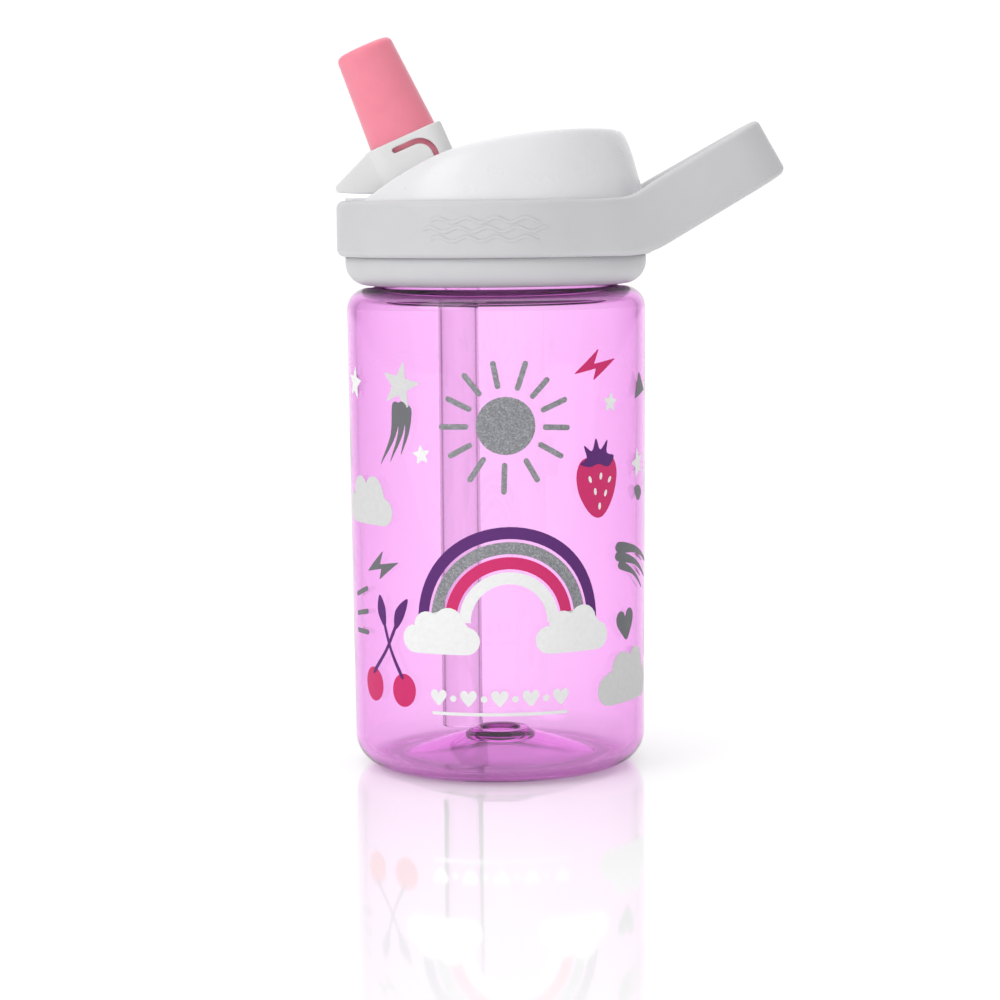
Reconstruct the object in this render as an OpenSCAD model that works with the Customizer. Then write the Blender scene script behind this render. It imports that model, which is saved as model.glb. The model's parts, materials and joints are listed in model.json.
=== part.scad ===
// Kids water bottle: a clear tapered body with a threaded mouth, a screw lid
// whose band carries a raised loop, a domed cover with a channel, and a spout
// that flips up out of the channel over a straw.
// Origin at the centre of the base, +Z up, the spout towards -X and the loop
// towards +X. Millimetres, lid closed and spout up.

/* [Body] */
// Outer radius of the body under its shoulder
body_r = 37; // [36.5:0.1:37.5]
// Outer radius of the body just above the base corner
body_low_r = 36.2; // [35.6:0.1:36.4]
// Height of the top of the shoulder
shoulder_z = 118.9; // [118:0.1:120]
// Wall thickness of the body
wall = 2.2; // [1.8:0.1:2.6]
// Radius of the corner around the base
base_round = 7.7; // [6:0.1:9]
// Radius of the corner around the shoulder
shoulder_round = 5.5; // [5:0.1:6]
// Height that the middle of the base is pushed up
pushup_h = 5; // [3:0.5:7]

/* [Mouth] */
// Outer radius of the neck
neck_r = 29.5; // [29:0.1:30]
// Height of the rim above the shoulder
neck_h = 15.6; // [15.4:0.1:17]
// Rise of the thread in one turn
pitch = 6; // [5:0.5:7]
// Length of the thread on each side, in turns
thread_turns = 1.25; // [1:0.05:1.35]
// How far a thread ridge stands off its wall
thread_h = 1.5; // [1.2:0.1:1.6]

/* [Lid] */
// Outer radius of the band
band_r = 39.4; // [39:0.1:40]
// Height of the band
band_h = 13.6; // [13.4:0.1:14.5]
// Height of the dome above the band
dome_h = 16.8; // [16:0.2:18]
// Half width of the channel that the spout lies in
channel_y = 10.6; // [10.5:0.1:11]
// Wall thickness of the domed cover
cover_t = 2; // [1.6:0.1:2.2]

/* [Carry loop] */
// Slope of the loop, in degrees
loop_slope = 29.5; // [26:0.5:32]
// How far the end of the loop stands out from the middle of the bottle
loop_reach = 72.1; // [70:0.1:74]
// Thickness of the strap of the loop
strap_t = 4.5; // [4:0.1:5]

/* [Spout] */
// Lean of the raised spout, in degrees
spout_lean = 23.5; // [22:0.5:27]
// Distance from the hinge to the top of the collar
collar_h = 14.9; // [14.6:0.1:16]
// Radius of the bite valve where it leaves the collar
valve_r = 8.6; // [8.3:0.1:8.7]
// Radius of the bite valve at its tip
valve_tip_r = 7.2; // [6.2:0.1:7.4]
// Length of the bite valve above the collar
valve_h = 24.1; // [22:0.1:25]

/* [Straw] */
// Outer radius of the straw
straw_r = 5; // [4.8:0.1:5.2]
// Height of the lower end of the straw
straw_z = 9; // [8.5:0.5:12]

/* [Hidden] */
$fn = 96;

// Heights of the lid, from the shoulder up
rim_z = shoulder_z + neck_h;
gasket_t = 1.5;
deck_z = rim_z + gasket_t;           // underside of the deck
deck_t = 2;
deck_top = deck_z + deck_t;
skirt_gap = 0.5;                     // air between shoulder and skirt
band_z = shoulder_z + 7.6;
band_top = band_z + band_h;
dome_top = band_top + dome_h;

// Radii of the lid
lid_bore_r = neck_r + 2;             // root of the thread inside the skirt
skirt_r = 37.1;
skirt_round = 5.5;
seat_r = 36.9;                       // upper wall that band and cover sit on
band_gap = 0.05;
band_round = 1.8;

// Body
foot_in_r = 24;                      // inner edge of the ring that it stands on
foot_r = body_low_r - base_round;
neck_bore_r = neck_r - wall;
boss_r = 7;                          // ring in the middle of the floor
boss_h = 1.2;

// Hinge, seen from the side as [x, z]
hinge = [-15, 142.5];
hinge_r = 2;
hinge_fit = 0.05;
barrel_r = 9;
barrel_gap = 0.4;
barrel_y = 6.9;
ear_y = channel_y + cover_t + 0.1;   // inner face of the ears on either side
ear_t = 3;

// Spout, in its own frame: x across, z along the valve, origin in the hinge
nozzle_x = -1.7;
stem_half = 10;
stem_round = 4.5;
stem_gap = 1.3;                      // room between the barrel and what moves round the port
nozzle_r = 5.6;
nozzle_bore_r = 3.2;
nozzle_top = collar_h + 10;
port_r = 2.6;
seal_r = 4.2;
well_z = deck_z - 2.8;               // floor of the well behind the hinge
flange_y = 8.4;                      // keyed flange of the valve in the stem
flange_x = [-8.7, 6.6];
flange_top = 13.6;

// Straw and the passage above it
straw_x = -9.4;
straw_bore_r = 4.2;
straw_top = shoulder_z + 5;
nipple_r = 5.5;
nipple_top = deck_z - 4;

// Vent, seen from above as [x, y]
vent = [10, 18.5];
vent_r = 1.5;

// Points of an arc about c, from angle a0 to a1
function arc(c, r, a0, a1, n = 10) =
    [for (i = [0:n]) let (a = a0 + (a1 - a0) * i / n) c + r * [cos(a), sin(a)]];

// A bar along Y, from y0 to y1, at [x, z]
module bar_y(at, r, y0, y1)
    translate([at[0], y1, at[1]]) rotate([90, 0, 0]) cylinder(r = r, h = y1 - y0);

// A side view in X and Z, drawn out along Y to half_y on both sides
module side_slab(half_y)
    translate([0, half_y, 0]) rotate([90, 0, 0]) linear_extrude(2 * half_y) children();

// Puts a child drawn in the spout's frame in its place on the hinge
module on_hinge()
    translate([hinge[0], 0, hinge[1]]) rotate([0, -spout_lean, 0]) children();

// A square-edged ring section with rounded outer corners, for rotate_extrude
module ring_section(r0, r1, z0, z1, round) {
    translate([r0, z0]) square([r1 - r0 - round, z1 - z0]);
    translate([r0, z0 + round]) square([r1 - r0, z1 - z0 - 2 * round]);
    for (z = [z0 + round, z1 - round]) translate([r1 - round, z]) circle(round);
}

// One helical ridge. Its foot is sunk into the wall at root_r, and it fades at
// both ends. A tip_r larger than root_r stands outwards.
module thread_ridge(root_r, tip_r, z0) {
    per_turn = 36;
    steps = round(per_turn * thread_turns);
    sink = 0.4 * sign(root_r - tip_r);
    foot_half = 1.15;
    tip_half = 0.5;
    fade = 4;
    sections = [for (i = [0:steps])
        let (k = max(0.2, min(1, i / fade, (steps - i) / fade)),
             a = 360 * i / per_turn,
             z = z0 + pitch * i / per_turn,
             tip = root_r + k * (tip_r - root_r))
        for (p = [[root_r + sink, -foot_half], [tip, -tip_half],
                  [tip, tip_half], [root_r + sink, foot_half]])
        [p[0] * cos(a), p[0] * sin(a), z + p[1]]];
    outward = tip_r > root_r;
    sides = [for (i = [0:steps - 1]) for (j = [0:3])
        let (a = 4 * i + j, b = 4 * i + (j + 1) % 4)
        for (t = [[a, b, b + 4], [a, b + 4, a + 4]])
        outward ? t : [t[2], t[1], t[0]]];
    last = 4 * steps;
    caps = [[3, 2, 1], [3, 1, 0], [last, last + 1, last + 2], [last, last + 2, last + 3]];
    ends = outward ? caps : [for (t = caps) [t[2], t[1], t[0]]];
    polyhedron(sections, concat(sides, ends));
}

// Half section of the body, drawn in by inset
module body_section(inset) {
    translate([foot_r, base_round]) circle(base_round - inset);
    translate([body_r - shoulder_round, shoulder_z - shoulder_round])
        circle(shoulder_round - inset);
    polygon([[0, inset], [foot_r, inset], [body_low_r - inset, base_round],
             [body_r - inset, shoulder_z - shoulder_round],
             [body_r - shoulder_round, shoulder_z - inset], [0, shoulder_z - inset]]);
}

// The cone and flat that push the middle of the base up, raised by lift
module pushup(lift)
    translate([0, 0, -1]) cylinder(r1 = foot_in_r + 3, r2 = boss_r + 1, h = pushup_h + 1 + lift);

module bottle_body() {
    color([0.95, 0.72, 0.92, 0.5])
    union() {
        difference() {
            union() {
                rotate_extrude() body_section(0);
                cylinder(r = neck_r, h = rim_z);
            }
            difference() {
                rotate_extrude() body_section(wall);
                pushup(wall);
            }
            translate([0, 0, shoulder_z - 2 * wall]) cylinder(r = neck_bore_r, h = neck_h + 3 * wall);
            pushup(0);
        }
        difference() {
            translate([0, 0, pushup_h]) cylinder(r = boss_r, h = wall + boss_h);
            translate([0, 0, pushup_h + wall]) cylinder(r = boss_r - 2, h = wall + boss_h);
        }
        thread_ridge(neck_r, neck_r + thread_h, shoulder_z + 5.5);
    }
}

module lid_gasket() {
    color("whitesmoke")
    difference() {
        translate([0, 0, rim_z]) cylinder(r = neck_r + 0.9, h = gasket_t);
        translate([0, 0, rim_z - 1]) cylinder(r = neck_bore_r, h = gasket_t + 2);
    }
}

// The well under the deck that the hinge barrel and the spout lie in
module well(grow) {
    bar_y(hinge, barrel_r + barrel_gap + grow, -channel_y - grow, channel_y + grow);
    translate([hinge[0], -channel_y - grow, well_z - grow])
        cube([33 + grow, 2 * (channel_y + grow), 12]);
}

module lid_base() {
    well_wall = 1.8;
    ear_r = 3.6;
    plug_r = neck_bore_r - 0.6;      // what hangs down inside the neck
    color("gainsboro")
    difference() {
        union() {
            // skirt, upper wall and deck
            difference() {
                union() {
                    rotate_extrude()
                        intersection() {
                            union() {
                                translate([skirt_r - skirt_round, shoulder_z + skirt_gap + skirt_round])
                                    circle(skirt_round);
                                translate([0, shoulder_z + skirt_gap])
                                    square([skirt_r - skirt_round, 10]);
                                translate([0, shoulder_z + skirt_gap + skirt_round])
                                    square([skirt_r, 10]);
                            }
                            square([skirt_r, band_z]);
                        }
                    translate([0, 0, band_z]) cylinder(r = seat_r, h = deck_top - band_z);
                }
                translate([0, 0, shoulder_z]) cylinder(r = lid_bore_r, h = deck_z - shoulder_z);
            }
            // outside of the well, kept clear of the neck
            intersection() {
                well(well_wall);
                translate([0, 0, shoulder_z]) cylinder(r = plug_r, h = deck_top - shoulder_z);
            }
            // boss of the port, in line with the raised spout, and the straw's nipple
            on_hinge() translate([0, 0, -barrel_r - 4.5]) cylinder(r = 5.6, h = 6);
            translate([straw_x, 0, straw_top]) cylinder(r = nipple_r, h = nipple_top - straw_top);
            // ears that hold the hinge pins
            for (y = [ear_y, -ear_y - ear_t]) {
                bar_y(hinge, ear_r, y, y + ear_t);
                translate([hinge[0] - ear_r, y, deck_z + 0.5])
                    cube([2 * ear_r, ear_t, hinge[1] - deck_z - 0.5]);
            }
            // ring that holds the gasket in
            difference() {
                translate([0, 0, rim_z - 1]) cylinder(r = plug_r, h = gasket_t + 2);
                translate([0, 0, rim_z - 2]) cylinder(r = plug_r - 1.4, h = gasket_t + 4);
            }
        }
        well(0);
        bar_y(hinge, hinge_r, -30, 30);
        // seat of the port seal, the passage below it and the vent
        on_hinge() translate([0, 0, -barrel_r - 3]) cylinder(r = seal_r, h = 6);
        on_hinge() translate([0, 0, -barrel_r - 4]) cylinder(r = port_r, h = 6);
        translate([straw_x, 0, straw_top - 1]) cylinder(r = nozzle_bore_r, h = nipple_top - straw_top);
        translate([vent[0], vent[1], deck_z - 1]) cylinder(r = vent_r, h = deck_t + 2);
    }
    color("gainsboro") thread_ridge(lid_bore_r, lid_bore_r - thread_h, shoulder_z + 2.5);
}

// Side view of the strap: level at the band, bending up to the slope
module loop_side() {
    bend_r = 20;
    strap_h = 14.7;
    low_x = 31.2;                    // where the lower edge starts to bend
    high_x = 25.4;                   // and the upper edge
    heel_round = 2.5;
    top_round = 5;
    low_c = [low_x, band_z + bend_r];
    along = [cos(loop_slope), sin(loop_slope)];
    up = [-sin(loop_slope), cos(loop_slope)];
    bend_end = low_c - bend_r * up;
    heel = bend_end + along * (loop_reach - bend_end[0]) / along[0];
    polygon(concat(
        [[0, band_z]],
        arc(low_c, bend_r, -90, loop_slope - 90),
        arc(heel + heel_round * (up - along), heel_round, loop_slope - 90, loop_slope, 4),
        arc(heel + (strap_h - top_round) * up - top_round * along, top_round,
            loop_slope, loop_slope + 90, 6),
        arc([high_x, band_top + bend_r], bend_r, loop_slope - 90, -90),
        [[0, band_top]]));
}

// Plan of the loop, from the band to its rounded end, drawn in by inset
module loop_plan(inset) {
    end_r = 15;
    end_x = loop_reach - end_r;
    meet = acos((band_r - end_r) / end_x);
    out = [cos(meet), sin(meet)];
    near = (band_r - inset) * out;
    far = [end_x, 0] + (end_r - inset) * out;
    translate([end_x, 0]) circle(end_r - inset);
    polygon([[near[0], -near[1]], [far[0], -far[1]], far, near]);
}

module handle_ring() {
    color("white")
    union() {
        rotate_extrude()
            difference() {
                ring_section(seat_r - 2, band_r, band_z, band_top, band_round);
                square([seat_r + band_gap, band_top + 1]);
            }
        difference() {
            intersection() {
                linear_extrude(band_top + 40) difference() {
                    loop_plan(0);
                    loop_plan(strap_t);
                }
                side_slab(50) loop_side();
            }
            cylinder(r = band_r - 1, h = band_top + 40);
        }
    }
}

// Side view of the dome, drawn in by inset: a straight front slope that blends
// into a long arc over the top
module dome_side(inset) {
    top_r = 140;
    top_c = [26, dome_top - top_r];
    front = [-30.9, 140.8];
    front_slope = 33.4;
    blend_r = 32;
    along = [cos(front_slope), sin(front_slope)];
    inward = [sin(front_slope), -cos(front_slope)];
    offset_c = front + blend_r * inward - top_c;
    run = sqrt(pow(offset_c * along, 2) - offset_c * offset_c + pow(top_r - blend_r, 2))
        - offset_c * along;
    blend_c = front + blend_r * inward + run * along;
    meet = atan2(blend_c[1] - top_c[1], blend_c[0] - top_c[0]);
    polygon(concat(
        [[50, 100], [-50, 100], front - 20 * along + inset * inward],
        arc(blend_c, blend_r - inset, front_slope + 90, meet, 12),
        arc(top_c, top_r - inset, meet, 80, 36)));
}

// The dome as one solid, drawn in by inset
module dome_solid(inset)
    intersection() {
        rotate_extrude()
            polygon([[0, deck_top], [seat_r - inset, deck_top], [seat_r - inset, band_top],
                     [seat_r - 5 - inset, band_top + 17.5], [0, dome_top + 1]]);
        side_slab(50) dome_side(inset);
    }

module dome_shell() {
    inner_y = channel_y + cover_t;
    rear_x = 29.5;
    sill_z = deck_top + 2.8;
    color("white")
    union() {
        difference() {
            dome_solid(0);
            // hollow cheeks
            difference() {
                translate([0, 0, -0.1]) dome_solid(cover_t);
                translate([-50, -inner_y, 0]) cube([50 + rear_x + cover_t, 2 * inner_y, 200]);
            }
            // channel, rounded at its rear
            translate([-50, -channel_y, 0]) cube([50 + rear_x - 5, 2 * channel_y, 200]);
            translate([0, 5 - channel_y, 0]) cube([rear_x, 2 * (channel_y - 5), 200]);
            for (s = [1, -1]) translate([rear_x - 5, s * (channel_y - 5), 0]) cylinder(r = 5, h = 200);
            // notches that pass over the hinge pins
            bar_y(hinge, hinge_r + 0.3, -inner_y - 1, inner_y + 1);
            translate([hinge[0] - hinge_r - 0.3, -inner_y - 1, 0])
                cube([2 * hinge_r + 0.6, 2 * inner_y + 2, hinge[1]]);
        }
        // low sill under the thumb lip
        intersection() {
            translate([-seat_r, -inner_y, deck_top]) cube([9, 2 * inner_y, sill_z - deck_top]);
            translate([0, 0, deck_top]) cylinder(r = seat_r, h = 10);
        }
    }
}

// Its lip hugs the barrel, and the rest stays below the folded spout
module port_seal() {
    lip_t = 0.95;
    color("whitesmoke")
    difference() {
        on_hinge() translate([0, 0, -barrel_r - 3]) cylinder(r = seal_r, h = 3);
        on_hinge() translate([0, 0, -barrel_r - 4]) cylinder(r = port_r, h = 6);
        bar_y(hinge, barrel_r + hinge_fit, -10, 10);
        difference() {
            translate([hinge[0], -10, well_z + 0.7]) cube([20, 20, 10]);
            bar_y(hinge, barrel_r + lip_t, -11, 11);
        }
    }
}

module vent_valve() {
    color("whitesmoke")
    translate([vent[0], vent[1], 0])
        union() {
            translate([0, 0, deck_z - 1]) cylinder(r = 4, h = 1);
            translate([0, 0, deck_z - 0.5]) cylinder(r = vent_r, h = deck_t + 1);
            translate([0, 0, deck_top]) cylinder(r = 2.4, h = 1.2);
        }
}

module straw_adapter() {
    low_z = shoulder_z + 0.8;
    high_z = straw_top + 4;
    color("gainsboro")
    translate([straw_x, 0, 0])
        difference() {
            translate([0, 0, low_z]) cylinder(r = nipple_r + 1.5, h = high_z - low_z);
            translate([0, 0, low_z - 1]) cylinder(r = straw_r, h = 10);
            translate([0, 0, straw_top]) cylinder(r = nipple_r, h = 10);
        }
}

module straw() {
    color([1, 0.8, 0.97, 0.6])
    translate([straw_x, 0, straw_z])
        difference() {
            cylinder(r = straw_r, h = straw_top - straw_z);
            translate([0, 0, -1]) cylinder(r = straw_bore_r, h = straw_top - straw_z + 2);
        }
}

module hinge_pins() {
    far = ear_y + ear_t;
    near = barrel_y - 2;
    color("silver")
    for (y = [near, -far]) bar_y(hinge, hinge_r, y, y + far - near);
}

module spout_core() {
    color("gainsboro")
    difference() {
        union() {
            bar_y(hinge, barrel_r, -barrel_y, barrel_y);
            on_hinge() translate([nozzle_x, 0, 0]) cylinder(r = nozzle_r, h = nozzle_top);
        }
        on_hinge() translate([0, 0, -barrel_r - 1]) cylinder(r = port_r, h = barrel_r + 2);
        on_hinge() translate([nozzle_x, 0, -2]) cylinder(r = nozzle_bore_r, h = nozzle_top + 4);
        for (y = [barrel_y - 2, -barrel_y - 1])
            bar_y(hinge, hinge_r + hinge_fit, y, y + 3);
    }
}

// Plan of the stem across the valve's axis: square with rounded corners
module stem_plan(half, round) {
    translate([-half, round - half]) square([2 * half, 2 * (half - round)]);
    translate([round - half, -half]) square([2 * (half - round), 2 * half]);
    for (x = [1, -1], y = [1, -1]) translate([x * (half - round), y * (half - round)]) circle(round);
}

// Side view of the slot that bends round the snap arm on each flank
module arm_slot() {
    w = 1.3;
    mid_x = 0.3;
    mid_z = 8.6;
    r = 4;
    start_x = -4.6;
    translate([start_x, mid_z + r - w / 2]) square([mid_x - start_x, w]);
    translate([start_x, mid_z + r]) circle(w / 2);
    intersection() {
        translate([mid_x, mid_z]) difference() {
            circle(r + w / 2);
            circle(r - w / 2);
        }
        translate([mid_x, mid_z]) square(10);
    }
    translate([mid_x + r - w / 2, mid_z - 4.5]) square([w, 4.5]);
    translate([mid_x + r, mid_z - 4.5]) circle(w / 2);
}

// Side view of the thumb lip on the front of the stem
module lip_side()
    polygon(concat([[-6, 4], [-14.1, 5.4], [-19.5, 7.9]],
                   arc([-20.7, 9.7], 1.1, 270, 125, 5),
                   [[-11, collar_h - 0.2], [-6, collar_h - 0.2]]));

module spout_stem() {
    lip_half = 8.5;
    color("white")
    difference() {
        union() {
            on_hinge() translate([nozzle_x, 0, 4])
                linear_extrude(collar_h - 4) stem_plan(stem_half, stem_round);
            on_hinge() side_slab(lip_half) lip_side();
            bar_y(hinge, barrel_r - 0.4, -stem_half, stem_half);
        }
        // room for the core and for the sleeve and flange of the valve
        bar_y(hinge, barrel_r + stem_gap, -barrel_y, barrel_y);
        on_hinge() translate([nozzle_x, 0, 0]) cylinder(r = valve_r, h = collar_h + 1);
        on_hinge() translate([flange_x[0], -flange_y, 5])
            cube([flange_x[1] - flange_x[0], 2 * flange_y, flange_top - 5]);
        on_hinge() side_slab(stem_half + 1) arm_slot();
        bar_y(hinge, hinge_r + hinge_fit, -stem_half - 1, stem_half + 1);
    }
}

module bite_valve() {
    skin = 2;
    top = collar_h + valve_h;
    tip_round = 1.6;
    color([1, 0.56, 0.64])
    difference() {
        on_hinge() translate([nozzle_x, 0, 0])
            difference() {
                union() {
                    rotate_extrude()
                        union() {
                            polygon([[0, 9], [valve_r, 9], [valve_r, collar_h],
                                     [valve_tip_r, top - tip_round],
                                     [valve_tip_r - tip_round, top], [0, top]]);
                            translate([valve_tip_r - tip_round, top - tip_round]) circle(tip_round);
                        }
                    translate([flange_x[0] - nozzle_x, -flange_y, 5])
                        cube([flange_x[1] - flange_x[0], 2 * flange_y, flange_top - 5]);
                }
                cylinder(r = nozzle_r, h = nozzle_top);
                translate([0, 0, nozzle_top - 1])
                    cylinder(r = valve_tip_r - skin, h = top - nozzle_top + 1 - skin);
                translate([-0.15, -3.5, nozzle_top]) cube([0.3, 7, valve_h]);
            }
        bar_y(hinge, barrel_r + stem_gap, -barrel_y - 0.2, barrel_y + 0.2);
    }
}

bottle_body();
lid_gasket();
lid_base();
handle_ring();
dome_shell();
port_seal();
vent_valve();
straw_adapter();
straw();
hinge_pins();
spout_core();
spout_stem();
bite_valve();
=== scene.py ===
"""Kids water bottle with a flip-up spout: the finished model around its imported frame."""
import json
from math import acos, cos, pi, radians, sin, sqrt, tan

import bmesh
import bpy
from mathutils import Matrix, Vector


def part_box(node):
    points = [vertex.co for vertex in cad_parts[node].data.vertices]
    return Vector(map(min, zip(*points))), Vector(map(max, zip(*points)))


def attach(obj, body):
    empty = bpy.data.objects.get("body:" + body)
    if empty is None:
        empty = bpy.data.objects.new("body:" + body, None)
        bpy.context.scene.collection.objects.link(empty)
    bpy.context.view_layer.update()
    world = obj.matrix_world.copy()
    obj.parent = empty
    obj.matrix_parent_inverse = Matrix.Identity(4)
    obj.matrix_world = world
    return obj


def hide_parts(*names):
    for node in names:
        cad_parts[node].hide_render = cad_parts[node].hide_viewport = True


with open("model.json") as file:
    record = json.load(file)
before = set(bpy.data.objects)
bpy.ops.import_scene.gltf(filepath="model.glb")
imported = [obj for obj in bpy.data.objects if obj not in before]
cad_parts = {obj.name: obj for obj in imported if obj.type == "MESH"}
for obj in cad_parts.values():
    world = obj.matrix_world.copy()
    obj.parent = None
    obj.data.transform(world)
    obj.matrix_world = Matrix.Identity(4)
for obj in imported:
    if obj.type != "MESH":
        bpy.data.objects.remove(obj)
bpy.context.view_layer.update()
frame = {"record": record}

MM = 0.001


def mm(*values):
    """A point given in millimetres."""
    return Vector([v * MM for v in values])


def hinge_place():
    """The spout's hinge: a point on its axis."""
    joints = {j["name"]: j for j in frame["record"]["behaviour"]["joints"]}
    return Vector(joints["spout_flip"]["pos_m"])


HINGE = hinge_place()

# heights and radii of the lid, in millimetres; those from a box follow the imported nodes
BAND_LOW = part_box("handle_ring")[0][2] / MM
SEAT_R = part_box("dome_shell")[1][0] / MM
DECK_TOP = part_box("dome_shell")[0][2] / MM
DOME_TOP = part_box("dome_shell")[1][2] / MM
BAND_TOP = 140.1
BAND_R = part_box("handle_ring")[1][1] / MM
LOOP_REACH = 71.7
CHANNEL_Y = 10.6
CHANNEL_REAR = 29.5
CHANNEL_ROUND = 5
SHOULDER = 118.9
WALL = 2.2
LOOP_SLOPE = radians(29.5)
STRAP_T = 4.5
STRAP_H = 14.7

# side view of the dome: a straight front slope and a long arc over the top
FRONT_X = -30.9
FRONT_Z = 140.8
FRONT_SLOPE = radians(33.4)
TOP_ARC_R = 140
TOP_ARC_X = 26


# ---------------------------------------------------------------- outlines


def rounded(corners, steps=8):
    """A closed outline whose corners (x, y, radius) are rounded by arcs, in millimetres."""
    outline = []
    for i, (x, y, radius) in enumerate(corners):
        here = Vector((x, y))
        if radius == 0:
            outline.append(here)
            continue
        before = (Vector(corners[i - 1][:2]) - here).normalized()
        after = (Vector(corners[(i + 1) % len(corners)][:2]) - here).normalized()
        half = before.angle(after) / 2
        centre = here + (before + after).normalized() * (radius / sin(half))
        start = here + before * (radius / tan(half)) - centre
        end = here + after * (radius / tan(half)) - centre
        sweep = start.angle_signed(end)
        for k in range(steps + 1):
            turn = Matrix.Rotation(-sweep * k / steps, 2)
            outline.append(centre + turn @ start)
    return outline


def turned(corners, segments=192, steps=8):
    """A solid turned about Z from its half outline of (radius, height, rounding)."""
    bm = bmesh.new()
    outline = [bm.verts.new(mm(p.x, 0, p.y)) for p in rounded(corners, steps)]
    pairs = zip(outline, outline[1:] + outline[:1])
    edges = [bm.edges.new(p) for p in pairs if p[0].co.x > 1e-7 or p[1].co.x > 1e-7]
    bmesh.ops.spin(bm, geom=outline + edges, cent=(0, 0, 0), axis=(0, 0, 1),
                   angle=2 * pi, steps=segments, use_merge=True)
    bmesh.ops.remove_doubles(bm, verts=bm.verts, dist=1e-6)
    bmesh.ops.recalc_face_normals(bm, faces=bm.faces)
    return bm


# ---------------------------------------------------------------- pieces


def piece(bm, name, body, material, replaced=(), smooth=50):
    """A finished mesh as an object that rides on a body and shows a material."""
    mesh = bpy.data.meshes.new(name)
    bm.to_mesh(mesh)
    bm.free()
    return mesh_piece(mesh, name, body, material, replaced, smooth)


def mesh_piece(mesh, name, body, material, replaced=(), smooth=50):
    mesh.shade_smooth()
    mesh.set_sharp_from_angle(angle=radians(smooth))
    mesh.materials.clear()
    mesh.materials.append(material)
    obj = bpy.data.objects.new(name, mesh)
    bpy.context.scene.collection.objects.link(obj)
    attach(obj, body)
    if replaced:
        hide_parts(*replaced)
    return obj


def cad_copy(node):
    """A merged copy of a CAD node's mesh."""
    bm = bmesh.new()
    bm.from_mesh(bpy.data.objects[node].data)
    bmesh.ops.remove_doubles(bm, verts=bm.verts, dist=2e-6)
    return bm


def prism(outline, low, high):
    """A solid drawn upwards from an outline in X and Y, in millimetres."""
    bm = bmesh.new()
    face = bm.faces.new([bm.verts.new(mm(p.x, p.y, low)) for p in outline])
    top = bmesh.ops.extrude_face_region(bm, geom=[face], use_keep_orig=True)["geom"]
    verts = [g for g in top if isinstance(g, bmesh.types.BMVert)]
    bmesh.ops.translate(bm, vec=mm(0, 0, high - low), verts=verts)
    bmesh.ops.recalc_face_normals(bm, faces=bm.faces)
    return bm


def loose(bm, name):
    mesh = bpy.data.meshes.new(name)
    bm.to_mesh(mesh)
    bm.free()
    obj = bpy.data.objects.new(name, mesh)
    bpy.context.scene.collection.objects.link(obj)
    return obj


def finished(obj):
    """The mesh that an object's modifiers leave, as a bmesh; the object goes."""
    bm = bmesh.new()
    bm.from_object(obj, bpy.context.evaluated_depsgraph_get())
    mesh = obj.data
    bpy.data.objects.remove(obj)
    bpy.data.meshes.remove(mesh)
    return bm


def carved(bm, *cutters):
    """The solid with other solids cut away."""
    obj = loose(bm, "block")
    tools = [loose(cutter, "cutter") for cutter in cutters]
    for tool in tools:
        cut = obj.modifiers.new("cut", "BOOLEAN")
        cut.operation, cut.object, cut.solver = "DIFFERENCE", tool, "EXACT"
    bm = finished(obj)
    for tool in tools:
        mesh = tool.data
        bpy.data.objects.remove(tool)
        bpy.data.meshes.remove(mesh)
    return bm


def eased(bm, width, segments=3, angle=40):
    """The solid with its sharp edges rounded off."""
    obj = loose(bm, "sharp")
    round_off = obj.modifiers.new("round off", "BEVEL")
    round_off.width = width * MM
    round_off.segments = segments
    round_off.limit_method = "ANGLE"
    round_off.angle_limit = radians(angle)
    return finished(obj)


def joined(*solids):
    bm = solids[0]
    for solid in solids[1:]:
        mesh = bpy.data.meshes.new("joined")
        solid.to_mesh(mesh)
        solid.free()
        bm.from_mesh(mesh)
        bpy.data.meshes.remove(mesh)
    return bm


def swept(rings):
    """A solid through a run of closed rings of points, shut at both ends."""
    bm = bmesh.new()
    before = None
    for ring in rings:
        verts = [bm.verts.new(point) for point in ring]
        loop = [bm.edges.new(pair) for pair in zip(verts, verts[1:] + verts[:1])]
        if before:
            bmesh.ops.bridge_loops(bm, edges=before + loop)
        else:
            bm.faces.new(verts)
        before = loop
    bm.faces.new(verts)
    bmesh.ops.recalc_face_normals(bm, faces=bm.faces)
    return bm


def moulded(bm, voxel, passes):
    """The solid with every edge softened as a moulding's are: remeshed and smoothed."""
    mesh = bpy.data.meshes.new("moulding")
    bm.to_mesh(mesh)
    bm.free()
    obj = bpy.data.objects.new("moulding", mesh)
    bpy.context.scene.collection.objects.link(obj)
    remesh = obj.modifiers.new("remesh", "REMESH")
    remesh.mode = "VOXEL"
    remesh.voxel_size = voxel * MM
    soften = obj.modifiers.new("soften", "SMOOTH")
    soften.factor = 0.5
    soften.iterations = passes
    solid = bpy.data.meshes.new_from_object(obj.evaluated_get(bpy.context.evaluated_depsgraph_get()))
    bpy.data.objects.remove(obj)
    bpy.data.meshes.remove(mesh)
    return solid


# ---------------------------------------------------------------- materials


def mapped(nodes, links, value, *limits):
    """A value taken from one range to another: low and high before, low and high after."""
    node = nodes.new("ShaderNodeMapRange")
    links.new(value, node.inputs["Value"])
    for socket, number in zip(("From Min", "From Max", "To Min", "To Max"), limits):
        node.inputs[socket].default_value = number
    return node.outputs["Result"]


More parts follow.
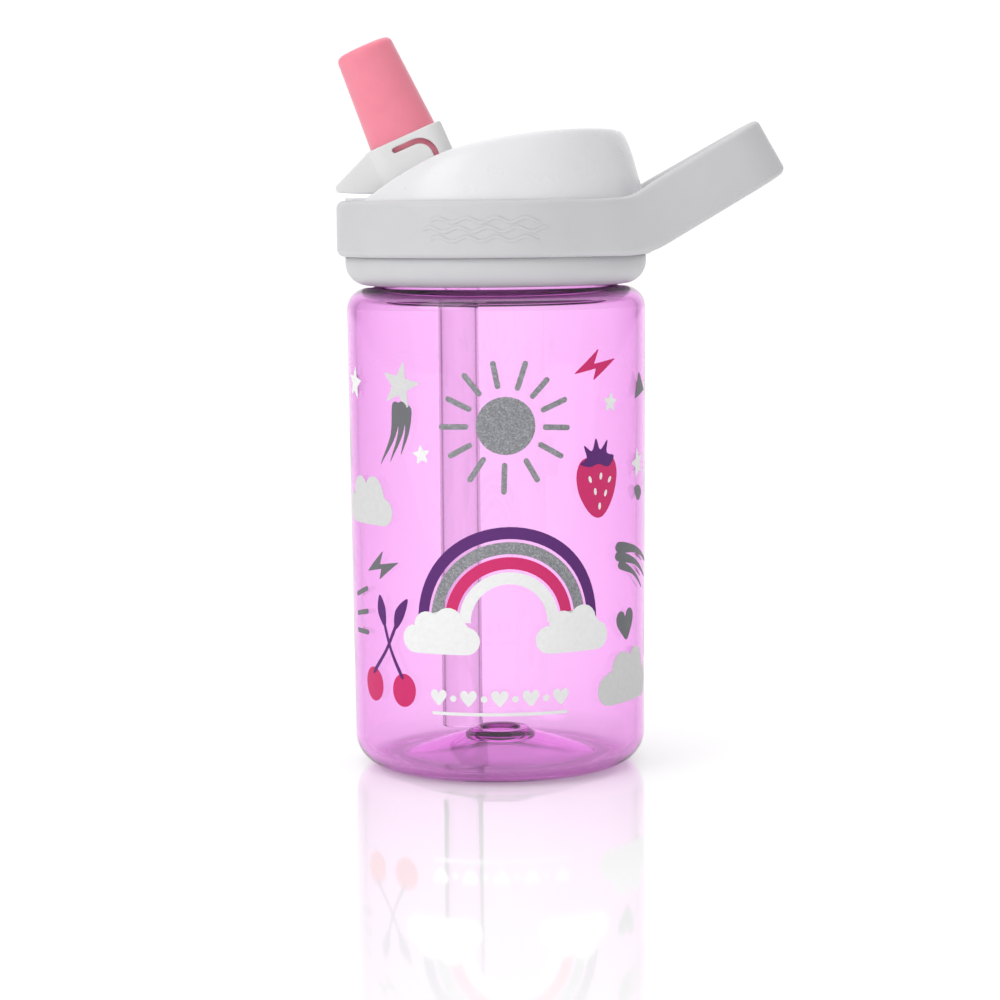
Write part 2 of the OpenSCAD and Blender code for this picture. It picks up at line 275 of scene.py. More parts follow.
class Finish:
    """A node material built up from a Principled shader."""

    def __init__(self, name, colour, roughness, **sockets):
        self.material = bpy.data.materials.new(name)
        self.material.use_nodes = True
        self.nodes = self.material.node_tree.nodes
        self.links = self.material.node_tree.links
        self.shader = self.nodes["Principled BSDF"]
        self.shader.inputs["Base Color"].default_value = (*colour, 1)
        self.shader.inputs["Roughness"].default_value = roughness
        for socket, value in sockets.items():
            self.shader.inputs[socket.replace("_", " ")].default_value = value
        self.place = self.nodes.new("ShaderNodeTexCoord").outputs["Object"]

    def noise(self, size, detail=2.0, roughness=0.5):
        """Noise whose lumps are about size millimetres."""
        node = self.nodes.new("ShaderNodeTexNoise")
        node.inputs["Scale"].default_value = 1 / (size * MM)
        node.inputs["Detail"].default_value = detail
        node.inputs["Roughness"].default_value = roughness
        self.links.new(self.place, node.inputs["Vector"])
        return node.outputs["Fac"]

    def cells(self, size):
        """A random value for each cell of about size millimetres."""
        node = self.nodes.new("ShaderNodeTexVoronoi")
        node.inputs["Scale"].default_value = 1 / (size * MM)
        self.links.new(self.place, node.inputs["Vector"])
        return node.outputs["Color"]

    def ramp(self, value, low, high, out_low, out_high):
        return mapped(self.nodes, self.links, value, low, high, out_low, out_high)

    def tones(self, value, *stops):
        """Colours along a value, from stops of (position, colour)."""
        node = self.nodes.new("ShaderNodeValToRGB")
        band = node.color_ramp
        while len(band.elements) < len(stops):
            band.elements.new(1)
        for element, (position, colour) in zip(band.elements, stops):
            element.position = position
            element.color = (*colour, 1)
        self.links.new(value, node.inputs["Fac"])
        return node.outputs["Color"]

    def colour(self, output):
        self.links.new(output, self.shader.inputs["Base Color"])

    def roughness(self, output):
        self.links.new(output, self.shader.inputs["Roughness"])

    def bump(self, height, depth, strength=1.0):
        """Relief of depth millimetres; calls add up."""
        node = self.nodes.new("ShaderNodeBump")
        node.inputs["Strength"].default_value = strength
        node.inputs["Distance"].default_value = depth * MM
        self.links.new(height, node.inputs["Height"])
        before = self.shader.inputs["Normal"].links
        if before:
            self.links.new(before[0].from_socket, node.inputs["Normal"])
        self.links.new(node.outputs["Normal"], self.shader.inputs["Normal"])


def scaled(colour, factor):
    return tuple(c * factor for c in colour)


def moulded_plastic(name, colour, gloss, grain, depth, **sockets):
    """Opaque plastic: slight mottling, a fine grain and rubbed patches."""
    finish = Finish(name, colour, gloss, **sockets)
    finish.colour(finish.tones(finish.noise(9), (0.3, scaled(colour, 0.975)), (0.7, colour)))
    finish.roughness(finish.ramp(finish.noise(5, 4), 0.3, 0.7, gloss - 0.05, gloss + 0.06))
    finish.bump(finish.noise(grain, 2), depth)
    finish.bump(finish.noise(14, 1), 0.02)
    return finish.material


def clear_plastic(name, colour, density, ripple):
    """Clear tinted plastic, with the soft ripple of a blown wall."""
    finish = Finish(name, (1, 1, 1), 0.02, Transmission_Weight=1.0, IOR=1.45, Specular_IOR_Level=0.5)
    finish.roughness(finish.ramp(finish.noise(6, 3), 0.3, 0.7, 0.01, 0.04))
    finish.bump(finish.noise(16, 1), ripple)
    depth = finish.nodes.new("ShaderNodeVolumeAbsorption")
    depth.inputs["Color"].default_value = (*colour, 1)
    depth.inputs["Density"].default_value = density
    finish.links.new(depth.outputs["Volume"], finish.nodes["Material Output"].inputs["Volume"])
    return finish.material


def silicone(name, colour, roughness, scatter, **sockets):
    """Soft silicone that lets some light in under its skin."""
    finish = Finish(name, colour, roughness, Subsurface_Weight=scatter, Subsurface_Scale=0.004,
                    IOR=1.41, **sockets)
    finish.shader.inputs["Subsurface Radius"].default_value = (1.0, 0.45, 0.4)
    finish.colour(finish.tones(finish.noise(4, 3), (0.3, scaled(colour, 0.96)), (0.7, colour)))
    finish.bump(finish.noise(0.5, 2), 0.01)
    return finish.material


def ink(name, colour):
    """Flat screen ink with a slightly uneven lay-down."""
    finish = Finish(name, colour, 0.45)
    finish.colour(finish.tones(finish.noise(1.2, 4), (0.25, scaled(colour, 0.93)), (0.75, colour)))
    finish.roughness(finish.ramp(finish.noise(0.8, 3), 0.3, 0.7, 0.38, 0.52))
    finish.bump(finish.noise(0.35, 3), 0.01)
    return finish.material


def glitter_ink(name, colour):
    """Grey ink full of fine flakes, some bright and some dark."""
    finish = Finish(name, colour, 0.4, Specular_IOR_Level=0.6)
    flakes = finish.cells(0.28)
    light = finish.nodes.new("ShaderNodeSeparateColor")
    finish.links.new(flakes, light.inputs["Color"])
    finish.colour(finish.tones(light.outputs["Red"], (0.0, scaled(colour, 0.72)), (0.55, colour),
                               (0.9, scaled(colour, 1.3)), (1.0, scaled(colour, 1.7))))
    finish.roughness(finish.ramp(light.outputs["Green"], 0, 1, 0.22, 0.5))
    finish.bump(light.outputs["Blue"], 0.01)
    return finish.material


def srgb(r, g, b):
    """A colour given as 0 to 255 display values."""
    shares = [c / 255 for c in (r, g, b)]
    return tuple(c / 12.92 if c <= 0.04045 else ((c + 0.055) / 1.055) ** 2.4 for c in shares)


violet = clear_plastic("clear violet body", (0.905, 0.08, 0.88), 172, 0.05)
straw_clear = clear_plastic("clear straw", (0.93, 0.62, 0.90), 170, 0.01)
satin = moulded_plastic("satin lid plastic", srgb(210, 210, 213), 0.42, 0.3, 0.012)
gloss = moulded_plastic("glossy dome plastic", srgb(237, 237, 240), 0.3, 0.5, 0.004, Coat_Weight=0.15)
grained = moulded_plastic("grained spout plastic", srgb(235, 235, 235), 0.5, 0.28, 0.05)
pink_rubber = silicone("pink silicone", srgb(255, 146, 166), 0.34, 0.5)
milky_rubber = silicone("milky silicone", srgb(232, 230, 226), 0.45, 0.4)


# ---------------------------------------------------------------- body


def thread_ridge(root, start):
    """The helical ridge on the neck, fading at both ends."""
    per_turn, turns, pitch, height = 72, 1.25, 6, 1.5
    steps = int(per_turn * turns)
    rings = []
    for k in range(steps + 1):
        fade = max(0.15, min(1, k / 8, (steps - k) / 8))
        angle = 2 * pi * k / per_turn
        up = start + pitch * k / per_turn
        rings.append([mm(radius * cos(angle), radius * sin(angle), up + rise) for radius, rise in
                      ((root - 0.4, -1.1), (root + height * fade, -0.45),
                       (root + height * fade, 0.45), (root - 0.4, 1.1))])
    return swept(rings)


def clear_body():
    """The blown body: one closed wall with a pushed-up base and a threaded neck."""
    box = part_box("bottle_body")
    rim = box[1][2] / MM
    radius = box[1][0] / MM
    low = radius - 0.85
    neck = 29.5
    outline = [
        (0, 5, 0), (8, 5, 4), (23.8, 0, 4), (low, 0, 7.7), (radius, SHOULDER, 5.5),
        (neck, SHOULDER, 1), (neck, rim, 0.8), (neck - WALL, rim, 0.6), (neck - WALL, SHOULDER - WALL, 1.5),
        (radius - WALL, SHOULDER - WALL, 3.3), (low - WALL, WALL, 5.5), (24, WALL, 4), (8.6, 5 + WALL, 1.5),
        (7, 8.4, 0.5), (5, 8.4, 0.5), (4.6, 5 + WALL, 0.5), (0, 5 + WALL, 0),
    ]
    solid = joined(turned(outline, 256, 10), thread_ridge(neck, SHOULDER + 5.5))
    return piece(solid, "clear_body", "bottle", violet, ["bottle_body"])


def straw():
    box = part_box("straw")
    low, high = box[0][2] / MM, box[1][2] / MM
    centre = (box[0][0] + box[1][0]) / 2
    bm = turned([(4.2, low, 0.3), (5, low, 0.3), (5, high, 0), (4.2, high, 0)], 96, 3)
    bmesh.ops.translate(bm, verts=bm.verts, vec=(centre, 0, 0))
    return piece(bm, "drinking_straw", "lid", straw_clear, ["straw"])


# ---------------------------------------------------------------- lid


def lower_edge(x):
    """Height of the loop's lower edge at x: level, a bend, then the slope."""
    start, bend, slope = 31.2, 20, LOOP_SLOPE
    run = x - start
    if run <= 0:
        return BAND_LOW
    if run < bend * sin(slope):
        return BAND_LOW + bend - sqrt(bend ** 2 - run ** 2)
    return BAND_LOW + bend * (1 - cos(slope)) + (run - bend * sin(slope)) * tan(slope)


def eased_step(value, low, high):
    t = min(max((value - low) / (high - low), 0), 1)
    return t * t * (3 - 2 * t)


def carry_loop(inset=0.3):
    """The strap: a rounded section swept round the plan of the loop, then lifted along its slope."""
    thick, tall, end_r = STRAP_T, STRAP_H, 15
    middle_r = BAND_R - inset - thick / 2
    end_x = LOOP_REACH - end_r
    meet = acos((BAND_R - end_r) / end_x)
    path = [Vector((cos(meet + radians(a)), sin(meet + radians(a)))) * middle_r for a in (6, 4.5, 3, 1.5, 0)]
    start, turn_r = path[-1], end_r - thick / 2
    corner = Vector((end_x + turn_r * cos(meet), turn_r * sin(meet)))
    path += [start.lerp(corner, k / 30) for k in range(1, 30)]
    path += [Vector((end_x + turn_r * cos(meet * k / 20), turn_r * sin(meet * k / 20)))
             for k in range(20, 0, -1)]
    path += [Vector((end_x + turn_r, 0))] + [Vector((p.x, -p.y)) for p in reversed(path)]
    section = rounded([(-thick / 2, 0, 1.6), (thick / 2, 0, 2.4), (thick / 2, tall, 2.9),
                       (-thick / 2, tall, 1.4)], 6)
    rings = []
    for i, here in enumerate(path):
        along = (path[min(i + 1, len(path) - 1)] - path[max(i - 1, 0)]).normalized()
        side = Vector((along.y, -along.x))
        rings.append([(*(here + side * p.x), p.y) for p in section])
    bm = swept(rings)
    for vert in bm.verts:
        x, y, up = vert.co
        lean = LOOP_SLOPE * eased_step(x, 22, 50)
        up *= 1 - (1 - (BAND_TOP - BAND_LOW) / tall) * (1 - eased_step(x, 22, 45))
        vert.co = mm(x - up * sin(lean), y, lower_edge(x) + up * cos(lean))
    bmesh.ops.recalc_face_normals(bm, faces=bm.faces)
    return bm


def wave(lift, half, steps=72):
    """One raised wavy line on the front of the band."""
    rings = []
    for k in range(steps + 1):
        along = half * (2 * k / steps - 1)
        up = (BAND_LOW + BAND_TOP) / 2 + lift + 0.55 * sin(2 * pi * k / steps * half / 3.5)
        angle = (along - 2.5) / BAND_R
        rings.append([mm(radius * sin(angle), -radius * cos(angle), up + rise) for rise, radius in
                      ((-0.42, BAND_R - 0.6), (-0.42, BAND_R - 0.2), (-0.2, BAND_R - 0.02),
                       (0.2, BAND_R - 0.02), (0.42, BAND_R - 0.2), (0.42, BAND_R - 0.6))])
    return swept(rings)


def handle_ring():
    inner, outer = SEAT_R + 0.05, BAND_R - 0.28
    ring = turned([(inner, BAND_LOW, 0.4), (outer, BAND_LOW, 1.8), (outer, BAND_TOP, 1.8),
                   (inner, BAND_TOP, 0.4)], 256, 8)
    solid = joined(ring, carry_loop(), wave(2.1, 13), wave(-0.1, 15), wave(-2.3, 13))
    return piece(solid, "band_and_loop", "lid", satin, ["handle_ring"])


def side_height(x):
    """Height of the dome seen from the side: a straight front slope into a long arc."""
    slope = FRONT_Z + (x - FRONT_X) * tan(FRONT_SLOPE)
    arc = DOME_TOP - TOP_ARC_R + sqrt(TOP_ARC_R ** 2 - (x - TOP_ARC_X) ** 2)
    return soft_min(slope, arc, 3.2)


def soft_min(a, b, ease):
    blend = max(ease - abs(a - b), 0) / ease
    return min(a, b) - blend * blend * ease / 4


def to_channel(x, y):
    """Distance outside the channel's outline."""
    across = abs(y) - (CHANNEL_Y - CHANNEL_ROUND)
    along = x - (CHANNEL_REAR - CHANNEL_ROUND)
    if along <= 0:
        return abs(y) - CHANNEL_Y
    return Vector((max(across, 0), along)).length - CHANNEL_ROUND


def dome():
    """The cover: a cone under the side outline, softened where they meet, with a channel cut through."""
    radii = [0.7 * k for k in range(42)] + [29.4 + 0.25 * k for k in range(1, 30)] + [SEAT_R]
    lip_r = 1.4
    bm = bmesh.new()
    spokes = [bm.verts.new((r, 0, 0)) for r in radii]
    edges = [bm.edges.new(pair) for pair in zip(spokes, spokes[1:])]
    bmesh.ops.spin(bm, geom=spokes + edges, cent=(0, 0, 0), axis=(0, 0, 1),
                   angle=2 * pi, steps=288, use_merge=True)
    bmesh.ops.remove_doubles(bm, verts=bm.verts, dist=1e-4)
    for vert in bm.verts:
        x, y = vert.co.x, vert.co.y
        cone = BAND_TOP + (SEAT_R - Vector((x, y)).length) * 3.5
        height = soft_min(cone, side_height(x), 7)
        lip = lip_r - max(min(to_channel(x, y), lip_r), 0)
        height -= lip_r - sqrt(lip_r ** 2 - lip ** 2)
        vert.co.z = max(height, DECK_TOP)
    rim = [e for e in bm.edges if e.is_boundary]
    wall = bmesh.ops.extrude_edge_only(bm, edges=rim)["geom"]
    for vert in [g for g in wall if isinstance(g, bmesh.types.BMVert)]:
        vert.co.z = DECK_TOP - 0.01
    bmesh.ops.holes_fill(bm, edges=[e for e in bm.edges if e.is_boundary])
    bmesh.ops.scale(bm, vec=(MM, MM, MM), verts=bm.verts)
    bmesh.ops.recalc_face_normals(bm, faces=bm.faces)
    slot = rounded([(-60, -CHANNEL_Y, 0), (CHANNEL_REAR, -CHANNEL_Y, CHANNEL_ROUND),
                    (CHANNEL_REAR, CHANNEL_Y, CHANNEL_ROUND), (-60, CHANNEL_Y, 0)], 10)
    cover = carved(bm, prism(slot, 120, 200))
    sill = bmesh.new()
    bmesh.ops.create_circle(sill, cap_ends=True, segments=256, radius=SEAT_R)
    sides = (((-27.9, 0, 0), (1, 0, 0)), ((0, 12.6, 0), (0, 1, 0)), ((0, -12.6, 0), (0, -1, 0)))
    for point, normal in sides:
        bmesh.ops.bisect_plane(sill, geom=sill.verts[:] + sill.edges[:] + sill.faces[:], plane_co=point,
                               plane_no=normal, clear_outer=True)
    outline = [v.co.xy.copy() for v in sill.faces[:][0].verts]
    sill.free()
    step = eased(prism(outline, DECK_TOP, DECK_TOP + 2.8), 0.5)
    return piece(joined(cover, step), "domed_cover", "lid", gloss, ["dome_shell"], 60)


def stem():
    return mesh_piece(moulded(cad_copy("spout_stem"), 0.25, 4), "thumb_stem", "spout", grained,
                      ["spout_stem"], 80)


def as_made(node, body, material, smooth=35):
    """A CAD shape that is right as it is, with smooth curves and its own finish."""
    return piece(cad_copy(node), node + "_finished", body, material, [node], smooth)


def hinge_pins():
    """Two plain pins with rounded ends, just clear of the holes that they sit in."""
    near, far = 5.1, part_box("hinge_pins")[1][1] / MM - 0.02
    pins = []
    for side in (-1, 1):
        pin = turned([(0, near, 0), (1.97, near, 0.3), (1.97, far, 0.3), (0, far, 0)], 48, 3)
        turn = Matrix.Rotation(side * pi / 2, 4, "X")
        bmesh.ops.transform(pin, matrix=Matrix.Translation(HINGE) @ turn, verts=pin.verts)
        pins.append(pin)
    return piece(joined(*pins), "pins", "lid", satin, ["hinge_pins"])


def valve():
    return as_made("bite_valve", "spout", pink_rubber)


clear_body()
straw()
handle_ring()
dome()
stem()
valve()
as_made("lid_base", "lid", satin)
as_made("spout_core", "spout", satin)
as_made("straw_adapter", "lid", satin)
hinge_pins()
as_made("lid_gasket", "seal", milky_rubber)
as_made("port_seal", "lid", milky_rubber)
as_made("vent_valve", "lid", milky_rubber)


# ---------------------------------------------------------------- print

PRINT_R = 36.7
INK_T = 0.06
SLICE = 2.0


def body_radius(height):
    """Outer radius of the tapered body, in millimetres."""
    return 36.15 + 0.85 * (height - 7.7) / 104.8


def bar(x0, y0, x1, y1, width):
    """A straight stroke with round ends."""
    start, end = Vector((x0, y0)), Vector((x1, y1))
    along = (end - start).normalized() * (width / 2)
    side = Vector((-along.y, along.x))
    corners = (start - along - side, end + along - side, end + along + side, start - along + side)
    return rounded([(p.x, p.y, width * 0.49) for p in corners], 5)


def wedge(x0, y0, x1, y1, width, tip, bow=0.0):
    """A stroke that tapers from width to tip and bows sideways."""
    start, end = Vector((x0, y0)), Vector((x1, y1))
    along = (end - start).normalized()
    side = Vector((-along.y, along.x))
    middle = (start + end) / 2 + side * bow
    half = (width + tip) / 4
    return smooth([start + side * width / 2, middle + side * half, end + side * tip / 2,
                   end - side * tip / 2, middle - side * half, start - side * width / 2])


def ellipse(x, y, rx, ry, spin=0):
    """A flat oval turned by spin degrees."""
    turn = Matrix.Rotation(radians(spin), 2)
    return [Vector((x, y)) + turn @ Vector((rx * cos(a), ry * sin(a)))
            for a in [2 * pi * k / 28 for k in range(28)]]


def star(x, y, radius, spin=0, inner=0.45, points=5, soft=0.25):
    corners = []
    for k in range(2 * points):
        reach = radius if k % 2 == 0 else radius * inner
        angle = radians(90 + spin) + pi * k / points
        corners.append((x + reach * cos(angle), y + reach * sin(angle), soft if k % 2 == 0 else 0.1))
    return rounded(corners, 3)


def smooth(points, steps=5):
    """A closed flowing outline through a few points."""
    points = [Vector(p) for p in points]
    outline = []
    for i, here in enumerate(points):
        before, after = points[i - 1], points[(i + 1) % len(points)]
        later = points[(i + 2) % len(points)]
        for k in range(steps):
            t = k / steps
            outline.append(0.5 * (2 * here + (after - before) * t
                                  + (2 * before - 5 * here + 4 * after - later) * t ** 2
                                  + (3 * here - before - 3 * after + later) * t ** 3))
    return outline


def bolt(x, y, size):
    """A jagged lightning bolt lying along the front."""
    shape = ((0.9, 3.9), (-0.6, 0.2), (6.8, 1.3), (-0.9, -3.8), (0.0, -0.9), (-6.6, -2.1))
    return rounded([(x + a * size, y + b * size, 0.12) for a, b in shape], 3)


def heart(x, y, size, spin=0):
    shape = [(0, -0.52), (0.28, -0.26), (0.5, 0.05), (0.5, 0.32), (0.3, 0.47), (0.1, 0.4), (0, 0.24),
             (-0.1, 0.4), (-0.3, 0.47), (-0.5, 0.32), (-0.5, 0.05), (-0.28, -0.26)]
    turn = Matrix.Rotation(radians(spin), 2)
    return smooth([Vector((x, y)) + turn @ (Vector(p) * size) for p in shape], 4)


def puffs(x, y, *circles):
    """A cloud's outline: the outer arcs of circles (x, y, radius, from, to) in degrees, in turn."""
    outline = []
    for cx, cy, radius, start, end in circles:
        for k in range(9):
            angle = radians(start + (end - start) * k / 8)
            outline.append(Vector((x + cx + radius * cos(angle), y + cy + radius * sin(angle))))
    return outline


class Print:
    """The shapes of one ink, drawn flat as (along the front, up) and wrapped on the body."""

    def __init__(self, name, material):
        self.name, self.material = name, material
        self.all = bmesh.new()

    def add(self, *outlines, layer=0):
        for outline in outlines:
            bm = bmesh.new()
            verts = [bm.verts.new((p.x, 0, p.y)) for p in outline]
            edges = [bm.edges.new(pair) for pair in zip(verts, verts[1:] + verts[:1])]
            bmesh.ops.triangle_fill(bm, edges=edges, use_beauty=True, normal=(0, -1, 0))
            low, high = min(p.x for p in outline), max(p.x for p in outline)
            cut = SLICE * (low // SLICE + 1)
            while cut < high:
                bmesh.ops.bisect_plane(bm, geom=bm.verts[:] + bm.edges[:] + bm.faces[:], dist=1e-4,
                                       plane_co=(cut, 0, 0), plane_no=(1, 0, 0))
                cut += SLICE
            lift = 0.03 + layer * (INK_T + 0.02)
            for vert in bm.verts:
                vert.co.y = lift
            grown = bmesh.ops.extrude_face_region(bm, geom=bm.faces[:], use_keep_orig=True)
            for vert in [g for g in grown["geom"] if isinstance(g, bmesh.types.BMVert)]:
                vert.co.y = lift + INK_T
            for vert in bm.verts:
                along, out, up = vert.co
                radius = body_radius(up) + out
                vert.co = mm(radius * sin(along / PRINT_R), -radius * cos(along / PRINT_R), up)
            bmesh.ops.recalc_face_normals(bm, faces=bm.faces)
            mesh = bpy.data.meshes.new("patch")
            bm.to_mesh(mesh)
            bm.free()
            self.all.from_mesh(mesh)
            bpy.data.meshes.remove(mesh)

    def lay(self):
        return piece(self.all, self.name, "bottle", self.material, smooth=40)


white_ink = ink("white ink", srgb(252, 252, 252))
cloud_ink = ink("pale grey ink", srgb(224, 224, 224))
grey_ink = ink("dark grey ink", srgb(112, 114, 118))
glitter = glitter_ink("glitter grey ink", srgb(142, 143, 148))
pink_ink = ink("pink ink", srgb(222, 32, 112))
purple_ink = ink("purple ink", srgb(92, 22, 118))


def printed_sky(white, cloud, grey, silver, pink):
    """Sun, stars, clouds and bolts."""
    silver.add(ellipse(2, 87, 7.1, 6.9))
    rays = ((-3, 9.6, 15.2), (22, 9.8, 15.6), (47, 9.5, 14.6), (72, 9.4, 15.4), (101, 9.6, 15.0),
            (129, 9.9, 15.3), (155, 9.6, 15.1), (181, 9.5, 15.4), (208, 9.8, 15.0), (236, 9.6, 15.3),
            (268, 9.4, 15.6), (300, 9.7, 14.9), (331, 9.6, 15.4))
    for angle, near, far in rays:
        out = Vector((cos(radians(angle)), sin(radians(angle))))
        silver.add(bar(2 + out.x * near, 87 + out.y * near, 2 + out.x * far, 87 + out.y * far, 1.35))
    white.add(star(-18.9, 79.9, 2.7, 8), star(30.4, 91.5, 2.8, -6), star(-12.6, 39.5, 2.8, 12),
              star(43.9, 75.8, 4.2, 14), star(-44.5, 96, 4.4, -8))
    cloud.add(star(-24.9, 96.3, 6.2, -12, 0.4))
    grey.add(wedge(-26.0, 91.4, -31.4, 77.8, 2.8, 0.3, 1.4), wedge(-24.2, 91.6, -28.0, 78.6, 2.6, 0.3, 1.2),
             wedge(-22.6, 91.0, -24.6, 80.4, 2.2, 0.3, 0.8))
    pink.add(bolt(25.5, 100.8, 1.0))
    grey.add(bolt(-32.6, 52.4, 0.95))
    cloud.add(puffs(-37.6, 66.6, (6.2, -1.2, 3.4, -90, 80), (2.2, 3.4, 3.9, 20, 150),
                    (-4.4, 2.6, 4.4, 60, 190), (-9.2, -0.8, 3.8, 110, 270)))
    cloud.add(puffs(38.4, 23.2, (9.2, -1.6, 3.8, -90, 85), (4.2, 3.0, 4.6, 10, 140),
                    (-2.8, 2.6, 4.6, 60, 175), (-8.4, -1.6, 3.9, 100, 270)))
    grey.add(wedge(33.6, 56.2, 52, 51.0, 2.6, 0.4, 1.0), wedge(33.4, 54.0, 50, 47.6, 2.4, 0.4, 1.0),
             wedge(34.4, 51.8, 47, 45.2, 2.0, 0.3, 0.8),
             heart(37, 37, 7.6, 6),
             rounded([(44.6, 98.2, 0.3), (49.4, 93.4, 0.3), (41.6, 91.6, 0.3)], 3),
             smooth([(41.6, 69.6), (44.4, 70.4), (47, 68.4), (44.2, 66.6)]))
    for up, tilt in ((46, 2.0), (40.4, 1.2), (35.2, 0.2)):
        grey.add(bar(-46, up - tilt, -39.6, up, 1.2))


def printed_fruit(white, pink, purple):
    """A strawberry and a pair of cherries."""
    pink.add(smooth([(19.7, 74.8), (21.4, 78.2), (26.0, 78.8), (30.9, 78.4), (32.8, 75.0), (31.8, 69.8),
                     (29.0, 65.4), (26.2, 64.0), (23.2, 65.6), (20.4, 70.0)]))
    purple.add(smooth([(26.2, 77.0), (29.6, 76.2), (31.6, 78.6), (29.0, 79.6), (29.2, 82.6), (26.8, 80.4),
                       (25.4, 83.2), (24.2, 80.2), (21.8, 81.6), (22.6, 78.6), (20.8, 77.2),
                       (23.6, 76.4)], 4), layer=1)
    for x, y in ((23.6, 73.4), (27.0, 74.0), (30.0, 73.0), (25.2, 70.4), (28.6, 69.8), (26.6, 66.8)):
        white.add(ellipse(x, y, 0.42, 0.85, 8 * (26 - x)), layer=1)
    pink.add(ellipse(-36.6, 22.9, 3.9, 4.2, 12), ellipse(-25.3, 22.6, 3.7, 4.1, -10))
    purple.add(wedge(-36.2, 26.2, -27.4, 38.4, 0.9, 0.8, -0.8),
               wedge(-25.9, 26.0, -31.8, 38.6, 0.9, 0.8, 0.6), layer=1)
    purple.add(smooth([(-31.4, 37.4), (-34.2, 41.0), (-33.4, 45.2), (-31.2, 42.0)]),
               smooth([(-27.8, 37.2), (-25.0, 40.2), (-23.6, 45.0), (-27.6, 41.8)]), layer=1)


def arch(x, y, outer, inner, steps=36):
    """A half ring standing on its two ends."""
    angles = [pi * k / steps for k in range(steps + 1)]
    over = [Vector((x + outer * cos(a), y + outer * sin(a))) for a in angles]
    under = [Vector((x + inner * cos(a), y + inner * sin(a))) for a in reversed(angles)]
    return over + under


def printed_rainbow(white, silver, pink, purple):
    """A plain rainbow that stands on two small clouds."""
    for ink_of_band, outer in ((purple, 23.0), (silver, 19.4), (pink, 15.8), (white, 12.2)):
        ink_of_band.add(arch(2.5, 40, outer, outer - 2.9))
    for x in (-14.4, 19.4):
        white.add(puffs(x, 37.0, (6.4, -1.4, 3.4, -90, 80), (2.0, 2.6, 3.9, 10, 150),
                        (-3.6, 1.8, 3.6, 50, 180), (-7.2, -1.4, 3.4, 100, 270)), layer=1)


def printed_border(white):
    """A row of small hearts and dots over a thin line, low on the body."""
    for k in range(-2, 3):
        white.add(heart(7.6 * k, 21.8, 3.9))
    for k in range(-2, 2):
        white.add(ellipse(7.6 * k + 3.8, 21.6, 0.8, 0.8))
    white.add(bar(-16.6, 17.9, 16.6, 17.9, 0.8))


def print_body():
    white, cloud = Print("print_white", white_ink), Print("print_pale_grey", cloud_ink)
    grey, silver = Print("print_dark_grey", grey_ink), Print("print_glitter_grey", glitter)
    pink, purple = Print("print_pink", pink_ink), Print("print_purple", purple_ink)
    printed_sky(white, cloud, grey, silver, pink)
    printed_fruit(white, pink, purple)
    printed_rainbow(white, silver, pink, purple)
    printed_border(white)
    for colour in (white, cloud, grey, silver, pink, purple):
        colour.lay()


print_body()


# ---------------------------------------------------------------- stage


def floor():
    bm = bmesh.new()
    bmesh.ops.create_grid(bm, x_segments=1, y_segments=1, size=4)
    mesh = bpy.data.meshes.new("floor")
    bm.to_mesh(mesh)
    bm.free()
    finish = Finish("pale floor", (0.95, 0.95, 0.95), 0.05, Emission_Strength=0.18)
    finish.shader.inputs["Emission Color"].default_value = (1, 1, 1, 1)
    # Painted reflection fade: the floor's specular level ramps with position, from none at Y = -0.28 m to
    # full at Y = -0.03 m, so its reflection of the bottle fades out towards the front.
    split = finish.nodes.new("ShaderNodeSeparateXYZ")
    finish.links.new(finish.place, split.inputs["Vector"])
    painted_reflection_fade = finish.ramp(split.outputs["Y"], -0.28, -0.03, 0, 1.0)
    finish.links.new(painted_reflection_fade, finish.shader.inputs["Specular IOR Level"])
    mesh.materials.append(finish.material)
    obj = bpy.data.objects.new("floor", mesh)
    bpy.context.scene.collection.objects.link(obj)


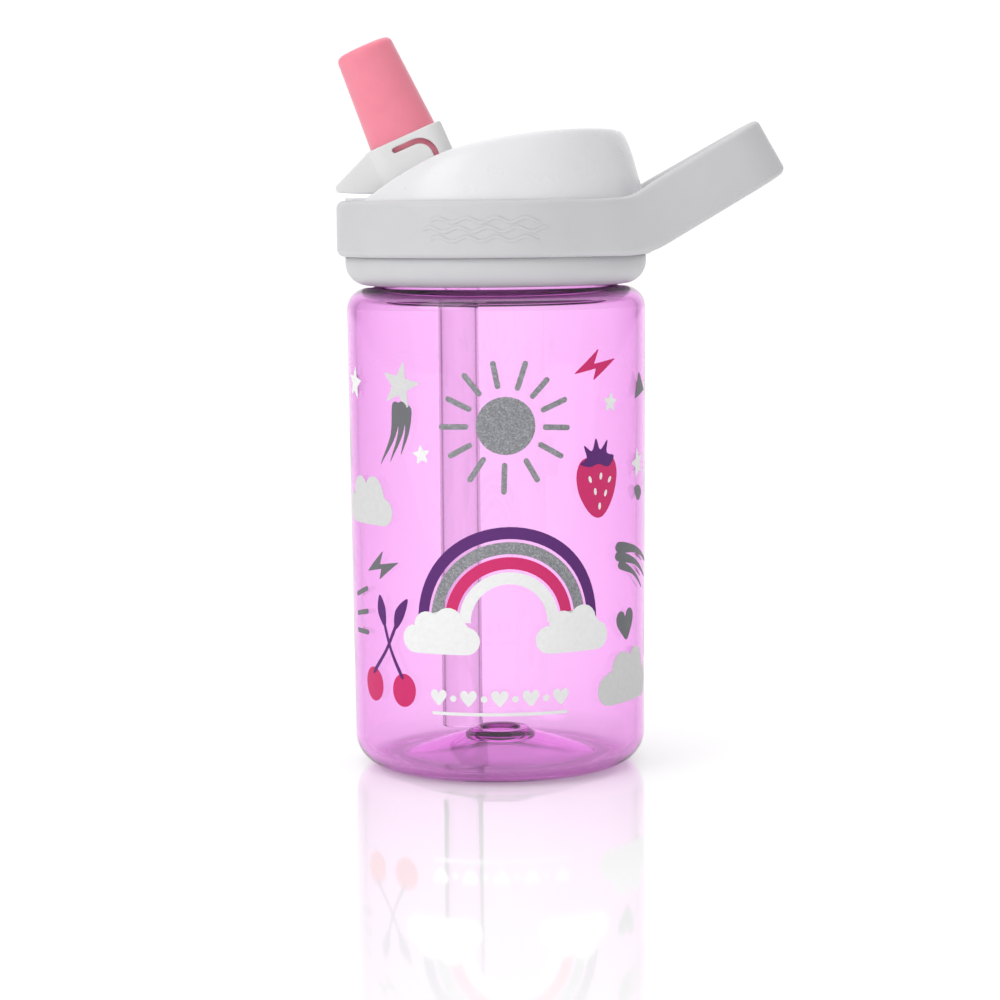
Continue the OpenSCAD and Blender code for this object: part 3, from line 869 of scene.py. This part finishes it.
def area_light(name, place, aim, size, power, colour=(1, 1, 1)):
    light = bpy.data.lights.new(name, "AREA")
    light.shape = "RECTANGLE"
    light.size, light.size_y = size
    light.energy = power
    light.color = colour
    obj = bpy.data.objects.new(name, light)
    obj.location = place
    obj.rotation_euler = (Vector(aim) - Vector(place)).to_track_quat("-Z", "Y").to_euler()
    bpy.context.scene.collection.objects.link(obj)


def studio():
    """White surroundings: dimmer light from the right, darker sides in gloss and glass."""
    world = bpy.data.worlds.new("studio")
    world.use_nodes = True
    nodes, links = world.node_tree.nodes, world.node_tree.links
    rays = nodes.new("ShaderNodeLightPath")
    place = nodes.new("ShaderNodeTexCoord")
    split = nodes.new("ShaderNodeSeparateXYZ")
    links.new(place.outputs["Generated"], split.inputs["Vector"])
    side = mapped(nodes, links, split.outputs["X"], -1, 1, 0.88, 0.56)
    choose = nodes.new("ShaderNodeMix")
    links.new(rays.outputs["Is Diffuse Ray"], choose.inputs["Factor"])
    sideways = nodes.new("ShaderNodeMath")
    sideways.operation = "ABSOLUTE"
    links.new(split.outputs["X"], sideways.inputs[0])
    edge = mapped(nodes, links, sideways.outputs["Value"], 0.35, 0.75, 1.05, 0.3)
    links.new(edge, choose.inputs["A"])
    links.new(side, choose.inputs["B"])
    links.new(choose.outputs["Result"], nodes["Background"].inputs["Strength"])
    nodes["Background"].inputs["Color"].default_value = (1, 1, 1, 1)
    bpy.context.scene.world = world
    bpy.context.scene.view_settings.view_transform = "Standard"
    middle = (0, 0, 0.1)
    area_light("key", (-0.7, -0.6, 0.8), middle, (0.6, 0.6), 2.4)
    area_light("top", (0, 0.2, 1.1), middle, (0.8, 0.8), 1.6)


def camera():
    """Level with the top of the band, 0.7 m in front of the bottle."""
    distance, height = 0.7, 0.14
    pitch, roll = radians(6.07), radians(0.55)
    lens = bpy.data.cameras.new("camera")
    lens.lens = 101.56
    lens.sensor_width = 36
    obj = bpy.data.objects.new("camera", lens)
    obj.matrix_world = (Matrix.Translation((0.0005, -distance, height))
                        @ Matrix.Rotation(pi / 2 - pitch, 4, "X") @ Matrix.Rotation(-roll, 4, "Z"))
    bpy.context.scene.collection.objects.link(obj)
    bpy.context.scene.camera = obj


floor()
studio()
camera()
